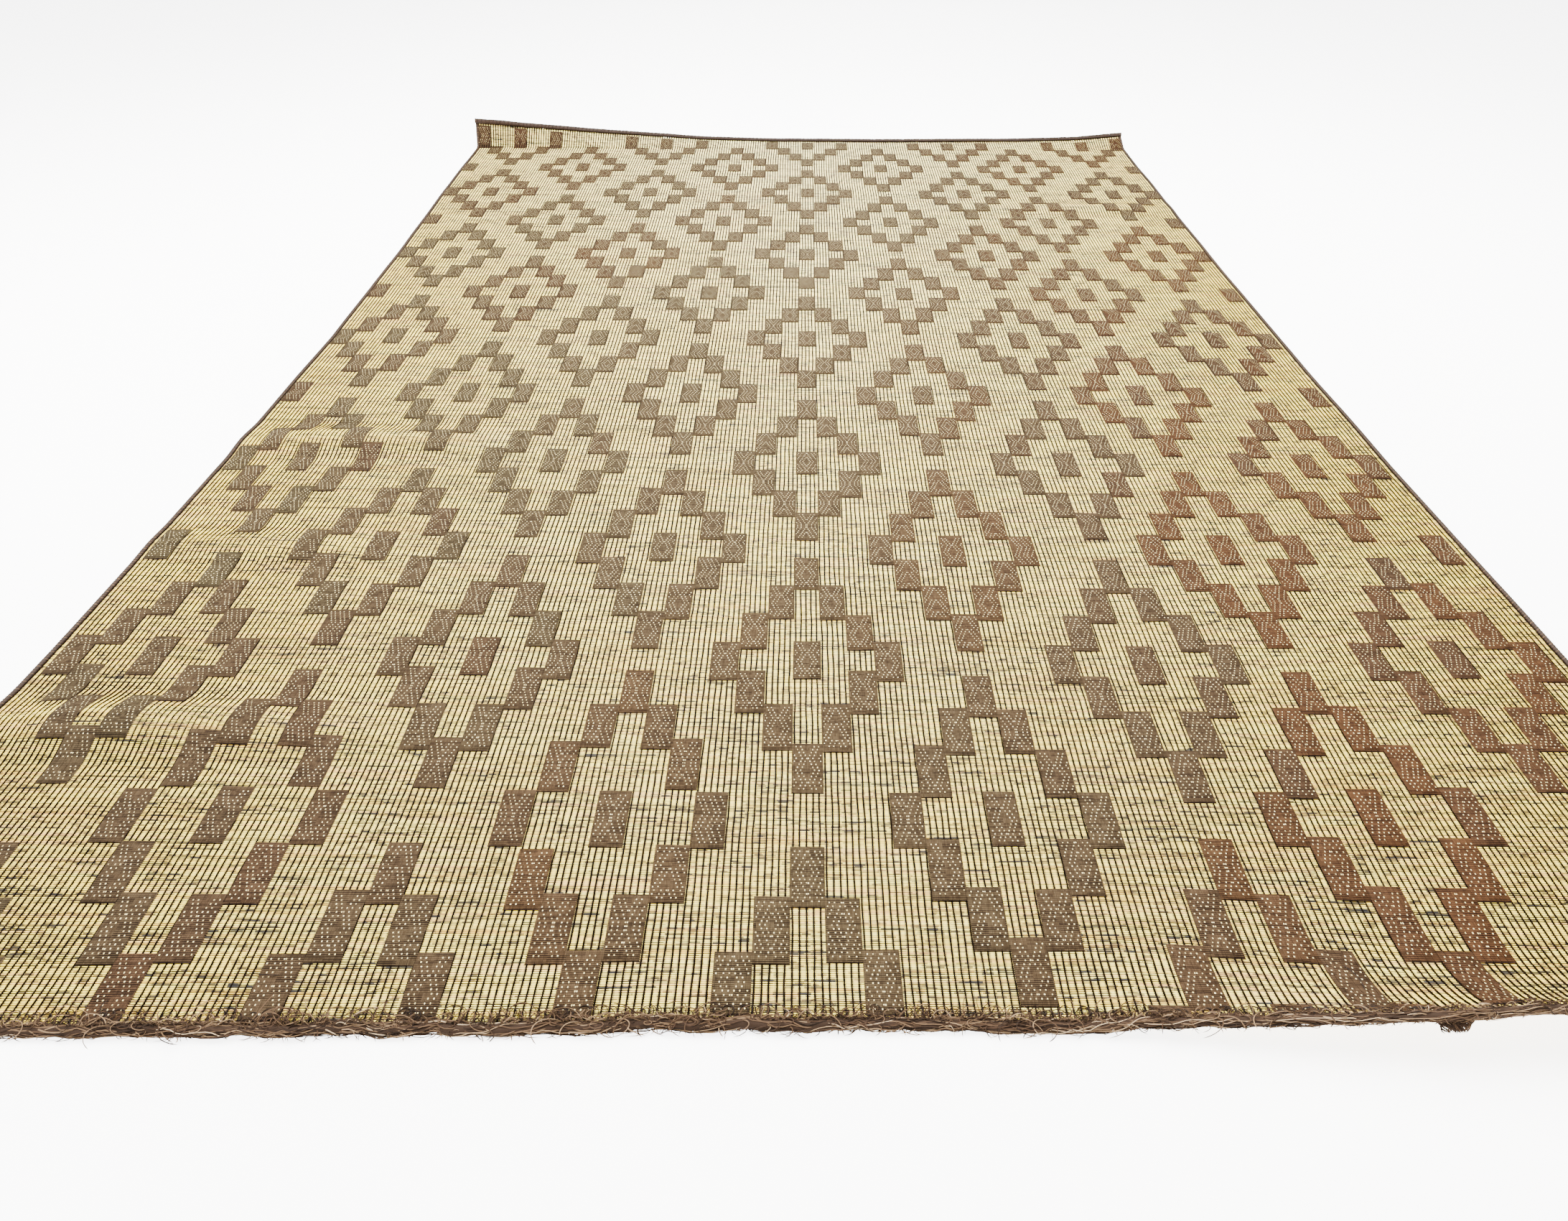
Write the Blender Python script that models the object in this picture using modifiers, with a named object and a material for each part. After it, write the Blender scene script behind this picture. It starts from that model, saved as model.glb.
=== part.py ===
"""Large Tuareg floor mat: reeds laid across, leather thongs lengthwise, bound edges, fibre fringe.

The mat lies on the ground with its rolled-up habits showing: three ripples on the left, one on the
right, the far edge turned up (steeply at the left corner) and the near edge curling at the right.
Metres, +Z up, +Y from the fringed near edge to the bound far edge, ground at z = 0.
"""
import math
import random
from collections import namedtuple

import bmesh
import bpy
from mathutils import Vector

COLLECTION = "tuareg_mat"

# The weave sets the size: a pattern block is five thongs wide and twenty-eight reeds deep
THONG_PITCH = 0.011
REED_PITCH = 0.00373
COLUMN = 5 * THONG_PITCH
ROW = 28 * REED_PITCH
HALF_COLUMNS = 27.72
NEAR_ROW = 0.2
FAR_ROW = 48.75
MIDDLE_ROW = 24.0

MAT_THICK = 0.0045
GAP = 0.0003
PROFILE_STEP = 0.1

# Sections of the edge pieces
SELVEDGE_WIDE = 0.012
SELVEDGE_TALL = 0.008
BINDING_DEEP = 0.020
BINDING_TALL = 0.019
ROLL_DEEP = 0.022
ROLL_TALL = 0.013

# Fringe locks, four-sided, each on every second cell of the roll
LOCKS = 112
LOCK_LENGTH = (0.010, 0.030)
LOCK_SWING = 0.028
LOCK_ELBOW = 0.5
LOCK_TIP = 0.35
LOCK_SEED = 11

# Real width of the weave along the mat, each half as a share of the even width
Flare = namedtuple("Flare", "row left right")
FLARES = (Flare(0.0, 1.003, 0.981), Flare(8.0, 0.989, 0.979), Flare(16.0, 0.985, 0.975),
          Flare(24.0, 0.989, 0.979), Flare(32.0, 1.011, 0.991), Flare(40.0, 1.041, 1.005),
          Flare(50.0, 1.072, 1.026))

# Ripples run along the reeds: highest near one side, fading towards the middle and flatter at the edge
Ripple = namedtuple("Ripple", "row height half_rows full_column end_column")
RIPPLES = (Ripple(17.0, 0.023, 1.1, -24.0, -12.0),
           Ripple(12.0, 0.012, 0.9, -24.0, -16.0),
           Ripple(6.0, 0.027, 1.1, -24.0, -12.0),
           Ripple(37.8, 0.012, 1.2, 24.0, 3.0))
RIPPLE_EDGE_COLUMN = 28.0
RIPPLE_EDGE_LOSS = 0.75

# Turned-up ends: how steep each end stands, in degrees, column by column
Curl = namedtuple("Curl", "column degrees")
FAR_CURLS = (Curl(-28.0, 62.0), Curl(-24.0, 42.0), Curl(-18.0, 25.0), Curl(-14.0, 16.0), Curl(-9.0, 6.0),
             Curl(-3.0, 2.0), Curl(6.0, 1.0), Curl(18.0, 3.0), Curl(24.0, 8.0), Curl(28.0, 18.0))
NEAR_CURLS = (Curl(7.0, 0.0), Curl(10.0, 13.0), Curl(14.0, 30.0), Curl(18.0, 44.0), Curl(28.0, 50.0))
FAR_FOLD_ROW = 47.45
FAR_FOLD_ROWS = 0.45
NEAR_FOLD_ROW = 2.2
NEAR_FOLD_ROWS = 2.2

# The last rows at the near end are laid looser towards the sides, so the end bows out, in rows
Slack = namedtuple("Slack", "column rows")
SLACKS = (Slack(-28.0, 0.27), Slack(-14.0, 0.16), Slack(-4.0, 0.0), Slack(8.0, -0.1), Slack(16.0, 0.33),
          Slack(28.0, 0.5))
SLACK_FROM_ROW = 4.0

# Lines of the sheet's grid: (first row, last row, step)
Span = namedtuple("Span", "first last step")
ROW_SPANS = (Span(NEAR_ROW, 2.4, 0.275), Span(2.4, 4.5, 1.05), Span(4.5, 7.5, 0.5), Span(7.5, 10.5, 1.5),
             Span(10.5, 13.5, 0.5), Span(13.5, 15.5, 1.0), Span(15.5, 18.5, 0.5), Span(18.5, 36.5, 3.0),
             Span(36.5, 39.0, 0.5), Span(39.0, 47.25, 2.75), Span(47.25, 48.15, 0.15),
             Span(48.15, FAR_ROW, 0.3))
COLUMN_LINES = (-HALF_COLUMNS, -26.0, -24.0, -21.0, -18.0, -15.0, -12.0, -9.0, -3.0, 3.0, 7.0, 10.0,
                12.0, 14.0, 16.0, 18.0, 21.0, 24.0, HALF_COLUMNS)

REED_CREAM = (0.78, 0.68, 0.42, 1.0)
LEATHER_BROWN = (0.09, 0.055, 0.033, 1.0)
FIBRE_BROWN = (0.22, 0.14, 0.09, 1.0)


def ease(t):
    """Smooth step from 0 to 1."""
    t = min(1.0, max(0.0, t))
    return t * t * (3.0 - 2.0 * t)


def from_table(table, key, value, at):
    """Value of a table at a place, on straight lines between its rows."""
    rows = [(getattr(row, key), getattr(row, value)) for row in table]
    if at <= rows[0][0]:
        return rows[0][1]
    for (a, low), (b, high) in zip(rows, rows[1:]):
        if at <= b:
            return low + (high - low) * (at - a) / (b - a)
    return rows[-1][1]


def steepness(column, row):
    """Angle of the sheet above the ground, walking away from the middle, in radians."""
    if row > MIDDLE_ROW:
        full = from_table(FAR_CURLS, "column", "degrees", column)
        return math.radians(full) * ease((row - FAR_FOLD_ROW) / FAR_FOLD_ROWS)
    full = from_table(NEAR_CURLS, "column", "degrees", column)
    return math.radians(full) * ease((NEAR_FOLD_ROW - row) / NEAR_FOLD_ROWS)


def reach(column, row):
    """Distance of a row along the sheet, in rows, with the slack of the near end."""
    slack = from_table(SLACKS, "column", "rows", column)
    return row - slack * ease(1.0 - row / SLACK_FROM_ROW)


def ripple_lift(column, row):
    """Height that the ripples give the sheet."""
    lift = 0.0
    for ripple in RIPPLES:
        fade = ease((column - ripple.end_column) / (ripple.full_column - ripple.end_column))
        full = abs(ripple.full_column)
        fade *= 1.0 - RIPPLE_EDGE_LOSS * ease((abs(column) - full) / (RIPPLE_EDGE_COLUMN - full))
        lift += ripple.height * fade * ease(1.0 - abs(row - ripple.row) / ripple.half_rows)
    return lift


def profile(column, rows):
    """Places (y, z) of the underside at the given rows of one column, paced out from the middle."""
    places = {}
    for outward in (1.0, -1.0):
        y, z, at = 0.0, 0.0, MIDDLE_ROW
        for row in sorted((r for r in rows if (r - MIDDLE_ROW) * outward >= 0.0), key=lambda r: outward * r):
            paces = max(1, math.ceil(abs(row - at) / PROFILE_STEP))
            step = (row - at) / paces
            for _ in range(paces):
                angle = steepness(column, at + step / 2.0)
                pace = (reach(column, at + step) - reach(column, at)) * ROW
                y += pace * math.cos(angle)
                z += abs(pace) * math.sin(angle)
                at += step
            places[row] = (y, z + ripple_lift(column, row))
    return [places[row] for row in rows]


def row_lines():
    """Rows at which the sheet has a line of points."""
    rows = []
    for span in ROW_SPANS:
        cells = round((span.last - span.first) / span.step)
        rows += [span.first + (span.last - span.first) * i / cells for i in range(cells)]
    return rows + [ROW_SPANS[-1].last]


def spread(column, row):
    """Sideways place of a column at a row."""
    return column * COLUMN * from_table(FLARES, "row", "left" if column < 0.0 else "right", row)


def make_material(name, colour, roughness):
    """Plain Principled material."""
    material = bpy.data.materials.new(name)
    material.use_nodes = True
    shader = material.node_tree.nodes["Principled BSDF"]
    shader.inputs["Base Color"].default_value = colour
    shader.inputs["Roughness"].default_value = roughness
    shader.inputs["Metallic"].default_value = 0.0
    return material


def add_object(name, bm, material, smooth_degrees=40.0):
    """Turn a bmesh into a named object of the collection."""
    bmesh.ops.recalc_face_normals(bm, faces=bm.faces)
    mesh = bpy.data.meshes.new(name)
    bm.to_mesh(mesh)
    bm.free()
    mesh.materials.append(material)
    mesh.shade_smooth()
    mesh.set_sharp_from_angle(angle=math.radians(smooth_degrees))
    obj = bpy.data.objects.new(name, mesh)
    bpy.data.collections[COLLECTION].objects.link(obj)
    return obj


def sheet_points():
    """Underside points of the sheet: a list for each row line, from left to right."""
    rows = row_lines()
    profiles = [profile(column, rows) for column in COLUMN_LINES]
    return [[Vector((spread(column, row), *profiles[c][r])) for c, column in enumerate(COLUMN_LINES)]
            for r, row in enumerate(rows)]


def make_sheet(points, material):
    """The woven sheet: a grid laid over the ripples and curls, thickened upwards."""
    across, along = len(points[0]) - 1, len(points) - 1
    bm = bmesh.new()
    bmesh.ops.create_grid(bm, x_segments=across, y_segments=along, size=1.0)
    bm.verts.ensure_lookup_table()
    for vert in bm.verts:
        c = round((vert.co.x + 1.0) / 2.0 * across)
        r = round((vert.co.y + 1.0) / 2.0 * along)
        vert.co = points[r][c]
    sheet = add_object("mat", bm, material)
    solid = sheet.modifiers.new("thickness", 'SOLIDIFY')
    solid.thickness = MAT_THICK
    solid.offset = 1.0
    solid.use_even_offset = True
    return sheet


def loft(name, rings, material):
    """Closed solid through rings of equal count, with flat caps."""
    bm = bmesh.new()
    loops = [[bm.verts.new(point) for point in ring] for ring in rings]
    for near, far in zip(loops, loops[1:]):
        for i in range(len(near)):
            j = (i + 1) % len(near)
            bm.faces.new((near[i], near[j], far[j], far[i]))
    bm.faces.new(loops[0][::-1])
    bm.faces.new(loops[-1])
    return add_object(name, bm, material)


def cord_section(wide, tall):
    """Section of a bound edge: flat below and on its inner side, rounded above and outside."""
    return ((GAP, 0.0), (wide * 0.85, 0.0), (wide, tall * 0.45), (wide * 0.8, tall), (wide * 0.25, tall),
            (GAP, tall * 0.6))


def make_selvedge(name, points, side, material):
    """Leather-whipped cord along one side edge, on the sheet's own lines."""
    edge = [row[0 if side < 0 else -1] for row in points]
    rings = []
    for i, point in enumerate(edge):
        run = edge[min(i + 1, len(edge) - 1)] - edge[max(i - 1, 0)]
        up = Vector((0.0, -run.z, run.y)).normalized()
        rings.append([point + Vector((side * out, 0.0, 0.0)) + up * rise
                      for out, rise in cord_section(SELVEDGE_WIDE, SELVEDGE_TALL)])
    return loft(name, rings, material)


def end_frame(edge, inner):
    """Directions at a point of an end: outward along the sheet, and up from it."""
    out = edge - inner
    out.x = 0.0
    out.normalize()
    up = Vector((0.0, -out.z, out.y)) if out.y > 0.0 else Vector((0.0, out.z, -out.y))
    return out, up


def make_binding(points, material):
    """Leather binding over the far edge, between the selvedges' outer sides."""
    edge, inner = list(points[-1]), list(points[-2])
    for side, i in ((-1.0, 0), (1.0, -1)):
        beyond = Vector((side * SELVEDGE_WIDE, 0.0, 0.0))
        edge.insert(0 if side < 0 else len(edge), edge[i] + beyond)
        inner.insert(0 if side < 0 else len(inner), inner[i] + beyond)
    rings = []
    for point, behind in zip(edge, inner):
        out, up = end_frame(point, behind)
        rings.append([point + out * depth + up * rise for depth, rise in cord_section(BINDING_DEEP, BINDING_TALL)])
    return loft("far_binding", rings, material)


def near_edge(points, share):
    """Point and directions on the near edge, at a share of its width, on the sheet's own lines."""
    edge, inner = points[0], points[1]
    x = edge[0].x + (edge[-1].x - edge[0].x) * share
    c = next(i for i in range(1, len(edge)) if x <= edge[i].x + 1e-9)
    t = (x - edge[c - 1].x) / (edge[c].x - edge[c - 1].x)
    point = edge[c - 1].lerp(edge[c], t)
    return (point, *end_frame(point, inner[c - 1].lerp(inner[c], t)))


def make_fringe(points, material):
    """Matted fibre roll along the near edge, with a lock drawn out of every second cell."""
    cells = 2 * LOCKS + 1
    rng = random.Random(LOCK_SEED)
    bm = bmesh.new()
    bmesh.ops.create_cube(bm, size=1.0)
    long_edges = [e for e in bm.edges if abs(e.verts[0].co.x - e.verts[1].co.x) > 0.5]
    bmesh.ops.subdivide_edges(bm, edges=long_edges, cuts=cells - 1, use_grid_fill=True)
    front = [f for f in bm.faces if f.normal.y < -0.5]
    front.sort(key=lambda f: f.calc_center_median().x)
    heads = front[1::2]
    places = {}
    for vert in bm.verts:
        share = vert.co.x + 0.5
        point, out, up = near_edge(points, share)
        depth = GAP + (0.5 - vert.co.y) * ROLL_DEEP
        rise = (vert.co.z + 0.5) * ROLL_TALL * (0.75 if vert.co.y < 0.0 else 1.0)
        places[vert] = point + out * depth + up * rise
    frames = {head: near_edge(points, head.calc_center_median().x + 0.5) for head in heads}
    for vert, place in places.items():
        vert.co = place
    for head in heads:
        _, out, _ = frames[head]
        length = rng.uniform(*LOCK_LENGTH)
        swing = rng.uniform(-LOCK_SWING, LOCK_SWING)
        face = head
        for part, thin in ((LOCK_ELBOW, 0.75), (1.0 - LOCK_ELBOW, LOCK_TIP)):
            made = bmesh.ops.extrude_discrete_faces(bm, faces=[face])
            face = made["faces"][0]
            floor = min(v.co.z for v in face.verts)
            middle = face.calc_center_median()
            middle.z = floor
            for vert in face.verts:
                vert.co = middle + (vert.co - middle) * thin
            bend = out * (length * part) + Vector((swing * part, 0.0, 0.0))
            drop = min(floor, 0.35 * length * part + max(0.0, bend.z))
            bmesh.ops.translate(bm, verts=face.verts, vec=bend - Vector((0.0, 0.0, drop)))
            swing *= -0.6
    return add_object("fringe", bm, material)


def stand_at_origin(objects):
    """Move the mat so that the middle of its footprint is the origin."""
    bpy.context.view_layer.update()
    graph = bpy.context.evaluated_depsgraph_get()
    corners = [o.matrix_world @ Vector(corner) for o in (x.evaluated_get(graph) for x in objects)
               for corner in o.bound_box]
    low = Vector([min(c[i] for c in corners) for i in range(3)])
    high = Vector([max(c[i] for c in corners) for i in range(3)])
    shift = Vector(((low.x + high.x) / 2.0, (low.y + high.y) / 2.0, low.z))
    for obj in objects:
        obj.location -= shift


def main():
    """Clear the scene and build the mat."""
    for obj in list(bpy.data.objects):
        bpy.data.objects.remove(obj, do_unlink=True)
    bpy.context.scene.collection.children.link(bpy.data.collections.new(COLLECTION))
    points = sheet_points()
    leather = {name: make_material(name, LEATHER_BROWN, 0.6)
               for name in ("left_leather", "right_leather", "binding_leather")}
    objects = [make_sheet(points, make_material("reed_and_thong", REED_CREAM, 0.55)),
               make_selvedge("selvedge_left", points, -1.0, leather["left_leather"]),
               make_selvedge("selvedge_right", points, 1.0, leather["right_leather"]),
               make_binding(points, leather["binding_leather"]),
               make_fringe(points, make_material("fibre", FIBRE_BROWN, 0.9))]
    stand_at_origin(objects)


main()
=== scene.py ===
"""Large Tuareg floor mat: reeds across, leather thongs lengthwise, leather blocks, bound edges.

Every piece is modelled flat, as it is woven: x across, y along from the fringed end and z up from the
underside, in metres. MatLay then lays it over the ripples and the curled ends of the mat on the ground.
"""
import logging
import math
from dataclasses import dataclass
from enum import Enum
from functools import partialmethod
from typing import Any, NamedTuple

import bpy
import numpy as np
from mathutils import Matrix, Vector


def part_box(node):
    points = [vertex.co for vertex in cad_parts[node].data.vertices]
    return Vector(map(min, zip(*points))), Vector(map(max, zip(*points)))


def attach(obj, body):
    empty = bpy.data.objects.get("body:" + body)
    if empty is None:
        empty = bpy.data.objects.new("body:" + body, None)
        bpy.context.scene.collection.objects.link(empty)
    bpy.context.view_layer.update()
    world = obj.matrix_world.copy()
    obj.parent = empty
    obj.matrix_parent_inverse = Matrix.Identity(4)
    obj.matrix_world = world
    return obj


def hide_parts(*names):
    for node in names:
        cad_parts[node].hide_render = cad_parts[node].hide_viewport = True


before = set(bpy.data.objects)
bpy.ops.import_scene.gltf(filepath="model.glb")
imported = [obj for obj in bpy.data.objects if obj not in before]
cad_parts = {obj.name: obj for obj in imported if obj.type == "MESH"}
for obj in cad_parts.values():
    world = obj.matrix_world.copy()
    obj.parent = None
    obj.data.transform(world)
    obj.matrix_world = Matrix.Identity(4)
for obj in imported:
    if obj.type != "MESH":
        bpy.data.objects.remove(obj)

LOG = logging.getLogger("tuareg_mat")
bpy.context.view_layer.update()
BODY = "root"
MM = 0.001
UV_NAME = "weave"
TONE_NAME = "tone"


class Flare(NamedTuple):
    """Real width of each half of the weave at a row, as a share of the even width."""

    row: float
    left: float
    right: float


class Ripple(NamedTuple):
    """A ripple along the reeds, full at one column and gone at another."""

    row: float
    height: float
    half_rows: float
    full_column: float
    end_column: float


class Curl(NamedTuple):
    """How steep an end of the mat stands at a column."""

    column: float
    degrees: float


class Slack(NamedTuple):
    """How far the near end bows out at a column, in rows."""

    column: float
    rows: float


FLARES = (Flare(0.0, 1.003, 0.981), Flare(8.0, 0.989, 0.979), Flare(16.0, 0.985, 0.975),
          Flare(24.0, 0.989, 0.979), Flare(32.0, 1.011, 0.991), Flare(40.0, 1.041, 1.005),
          Flare(50.0, 1.072, 1.026))
RIPPLES = (Ripple(17.0, 0.023, 1.1, -24.0, -12.0), Ripple(12.0, 0.012, 0.9, -24.0, -16.0),
           Ripple(6.0, 0.027, 1.1, -24.0, -12.0), Ripple(37.8, 0.012, 1.2, 24.0, 3.0))
RIPPLE_EDGE_COLUMN = 28.0
RIPPLE_EDGE_LOSS = 0.75
FAR_CURLS = (Curl(-28.0, 62.0), Curl(-24.0, 42.0), Curl(-18.0, 25.0), Curl(-14.0, 16.0), Curl(-9.0, 6.0),
             Curl(-3.0, 2.0), Curl(6.0, 1.0), Curl(18.0, 3.0), Curl(24.0, 8.0), Curl(28.0, 18.0))
NEAR_CURLS = (Curl(7.0, 0.0), Curl(10.0, 13.0), Curl(14.0, 30.0), Curl(18.0, 44.0), Curl(28.0, 50.0))
SLACKS = (Slack(-28.0, 0.27), Slack(-14.0, 0.16), Slack(-4.0, 0.0), Slack(8.0, -0.1), Slack(16.0, 0.33),
          Slack(28.0, 0.5))
SLACK_FROM_ROW = 4.0
# Columns where the mat bends, so where its grids need a line
NEAR_BENDS = (-27.72, -27.0, -26.25, -25.5, -24.75, -24.0, -22.5, -21.0, -19.5, -18.0, -16.5, -15.0, -13.5,
              -12.0, -8.0, -4.0, 0.0, 3.5, 7.0, 8.5, 10.0, 12.0, 14.0, 16.0, 18.0, 21.5, 25.0, 27.72)
FAR_BENDS = (-27.72, -26.0, -24.0, -21.0, -18.0, -16.0, -14.0, -11.5, -9.0, -6.0, -3.0, 0.0, 3.0, 6.0, 9.0,
             12.0, 15.0, 18.0, 20.0, 22.0, 24.0, 25.0, 26.0, 27.0, 27.72)


@dataclass(frozen=True)
class Weave:
    """Sizes of the weave in metres, its counts, and the levels of its layers over the underside."""

    thong_pitch: float = 11.0 * MM
    reed_pitch: float = 3.73 * MM
    thongs_in_block: int = 5
    strips_in_block: int = 20
    reeds_in_row: int = 28
    half_columns: float = 27.72
    near_row: float = 0.2
    far_row: float = 48.75
    web_top: float = 2.2 * MM
    reed_top: float = 4.0 * MM
    thong_top: float = 5.9 * MM
    block_top: float = 5.7 * MM
    dot_top: float = 6.0 * MM

    @property
    def column(self) -> float:
        """Width of a pattern column."""
        return self.thongs_in_block * self.thong_pitch

    @property
    def stitch(self) -> float:
        """Length of a stitch, over one reed and under the next."""
        return 2.0 * self.reed_pitch

    @property
    def strip(self) -> float:
        """Width of a leather strip in a block."""
        return self.column / self.strips_in_block

    @property
    def row(self) -> float:
        """Depth of a pattern row."""
        return self.reeds_in_row * self.reed_pitch

    @property
    def half_width(self) -> float:
        """Half the width of the woven part."""
        return self.half_columns * self.column

    @property
    def near(self) -> float:
        """Place of the fringed end."""
        return self.near_row * self.row

    @property
    def far(self) -> float:
        """Place of the bound end."""
        return self.far_row * self.row


WEAVE = Weave()


def srgb(code: str) -> tuple[float, float, float, float]:
    """Turn a hex colour into linear red, green, blue and alpha.

    Args:
        code: Six hex digits, such as "E8DDAE".

    Returns:
        The linear colour with alpha 1.
    """
    levels = [int(code[i:i + 2], 16) / 255.0 for i in (0, 2, 4)]
    return (*[c / 12.92 if c <= 0.04045 else ((c + 0.055) / 1.055) ** 2.4 for c in levels], 1.0)


def ease(t: np.ndarray) -> np.ndarray:
    """Smooth step from 0 to 1."""
    t = np.clip(t, 0.0, 1.0)
    return t * t * (3.0 - 2.0 * t)


def soft_noise(x: np.ndarray, y: np.ndarray, span: float, seed: int) -> np.ndarray:
    """Smooth unevenness from crossing waves, from about -1 to 1.

    Args:
        x: Places across, in metres.
        y: Places along, in metres.
        span: Typical width of a bump, in metres.
        seed: Picks the waves.

    Returns:
        One value for each place.
    """
    rng = np.random.default_rng(seed)
    total = np.zeros_like(x)
    waves = 5
    for _ in range(waves):
        turn, phase = rng.uniform(0.0, math.tau, 2)
        rate = math.tau / (span * rng.uniform(0.7, 1.6))
        total += np.sin(rate * (x * math.cos(turn) + y * math.sin(turn)) + phase)
    return total / math.sqrt(2.0 * waves)


@dataclass
class MatLay:
    """The way the mat lies: its flare, ripples, curled ends and small unevenness."""

    middle_row: float = 24.0
    far_fold: tuple[float, float] = (47.45, 0.45)
    near_fold: tuple[float, float] = (2.2, 2.2)
    step: float = 0.1
    swell: float = 0.9 * MM
    wander_across: float = 1.6 * MM
    wander_along: float = 3.0 * MM

    def __post_init__(self) -> None:
        """Pace out the profile of every column from the middle row."""
        self.pieces: list[bpy.types.Object] = []
        self.columns, self.rows = np.arange(-29.0, 29.5, 0.5), np.arange(-12, 500) / 10.0
        column, row = np.meshgrid(self.columns, self.rows, indexing="ij")
        outward = np.sign(row - self.middle_row)
        far = np.interp(column, *zip(*FAR_CURLS)) * ease((row - self.far_fold[0]) / self.far_fold[1])
        near = np.interp(column, *zip(*NEAR_CURLS)) * ease((self.near_fold[0] - row) / self.near_fold[1])
        angle = np.radians(far + near)
        slack = np.interp(column, *zip(*SLACKS))
        pace = np.gradient(row - slack * ease(1.0 - row / SLACK_FROM_ROW), axis=1) * WEAVE.row
        middle = int(np.argmin(np.abs(self.rows - self.middle_row)))
        run = np.cumsum(pace * np.cos(angle), axis=1)
        climb = np.cumsum(pace * np.sin(angle) * outward, axis=1)
        self.y = run - run[:, middle:middle + 1]
        self.z = climb - climb[:, middle:middle + 1]
        for ripple in RIPPLES:
            fade = ease((column - ripple.end_column) / (ripple.full_column - ripple.end_column))
            full = abs(ripple.full_column)
            fade *= 1.0 - RIPPLE_EDGE_LOSS * ease((np.abs(column) - full) / (RIPPLE_EDGE_COLUMN - full))
            self.z += ripple.height * fade * ease(1.0 - np.abs(row - ripple.row) / ripple.half_rows)
        x, y = column * WEAVE.column, row * WEAVE.row
        self.z += self.swell * (1.0 + np.clip(soft_noise(x * 0.6, y, 0.34, 3), -1.0, 1.0))
        self.slope = np.gradient(self.z, axis=1) / np.maximum(np.gradient(self.y, axis=1), 1e-5)
        low, high = (np.array(corner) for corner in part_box("mat"))
        far_y = self.at(self.y, self.columns, np.full(len(self.columns), WEAVE.far_row)).max()
        rows, left, _ = zip(*FLARES)
        wide = WEAVE.half_width * max(np.interp(WEAVE.far_row, rows, left), 1.0)
        self.shift = np.array([low[0] + wide, high[1] - far_y, low[2]])

    def at(self, grid: np.ndarray, column: np.ndarray, row: np.ndarray) -> np.ndarray:
        """Read a grid between its lines.

        Args:
            grid: Values by column and row.
            column: Columns to read at.
            row: Rows to read at.

        Returns:
            The values there.
        """
        spacing = self.columns[1] - self.columns[0]
        c = np.clip((column - self.columns[0]) / spacing, 0, len(self.columns) - 1.001)
        r = np.clip((row - self.rows[0]) / self.step, 0, len(self.rows) - 1.001)
        i, j = c.astype(int), r.astype(int)
        s, t = c - i, r - j
        return ((grid[i, j] * (1 - t) + grid[i, j + 1] * t) * (1 - s)
                + (grid[i + 1, j] * (1 - t) + grid[i + 1, j + 1] * t) * s)

    def place(self, flat: np.ndarray) -> np.ndarray:
        """Lay flat points on the ground.

        Args:
            flat: Points (x, y, height) of the flat mat.

        Returns:
            The same points on the ground.
        """
        x, y, height = flat.T
        moved_x = x + self.wander_across * soft_noise(x, y, 0.5, 11)
        moved_y = y + self.wander_along * soft_noise(x, y, 0.6, 12)
        column, row = moved_x / WEAVE.column, moved_y / WEAVE.row
        slope = self.at(self.slope, column, row)
        lean = 1.0 / np.sqrt(1.0 + slope * slope)
        rows, left, right = zip(*FLARES)
        share = np.where(column < 0.0, np.interp(row, rows, left), np.interp(row, rows, right))
        return self.shift + np.stack([moved_x * share, self.at(self.y, column, row) - height * slope * lean,
                                      self.at(self.z, column, row) + height * lean], axis=1)


def add_node(tree: bpy.types.NodeTree, kind: str, settings: dict[str, Any] | None = None,
             links: dict[str | int, Any] | None = None) -> bpy.types.Node:
    """Add a shader node.

    Args:
        tree: The material's node tree.
        kind: Node type without its "ShaderNode" start.
        settings: Node properties by name.
        links: What feeds each socket: a Value, an output socket or a plain value.

    Returns:
        The node.
    """
    made = tree.nodes.new("ShaderNode" + kind)
    for key, value in (settings or {}).items():
        setattr(made, key, value)
    for key, value in (links or {}).items():
        value = getattr(value, "socket", value)
        if isinstance(value, bpy.types.NodeSocket):
            tree.links.new(value, made.inputs[key])
        else:
            made.inputs[key].default_value = value
    return made


class Value:
    """A number or a colour that a node gives, with the usual signs of arithmetic."""

    def __init__(self, socket: bpy.types.NodeSocket) -> None:
        """Hold the output that gives it."""
        self.socket = socket

    def into(self, kind: str, settings: dict[str, Any], *others: Any) -> "Value":
        """What a node makes of this value and others."""
        links = dict(enumerate((self, *others)))
        return Value(add_node(self.socket.id_data, kind, settings, links).outputs[0])

    def clamp(self) -> "Value":
        """This value, kept from 0 to 1 where it is worked out."""
        self.socket.node.use_clamp = True
        return self

    __add__ = partialmethod(into, "Math", {"operation": 'ADD'})
    __sub__ = partialmethod(into, "Math", {"operation": 'SUBTRACT'})
    __mul__ = partialmethod(into, "Math", {"operation": 'MULTIPLY'})
    __truediv__ = partialmethod(into, "Math", {"operation": 'DIVIDE'})
    __pow__ = partialmethod(into, "Math", {"operation": 'POWER'})
    __gt__ = partialmethod(into, "Math", {"operation": 'GREATER_THAN'})
    __abs__ = partialmethod(into, "Math", {"operation": 'ABSOLUTE'})
    floor = partialmethod(into, "Math", {"operation": 'FLOOR'})
    fract = partialmethod(into, "Math", {"operation": 'FRACT'})
    larger = partialmethod(into, "Math", {"operation": 'MAXIMUM'})


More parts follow.
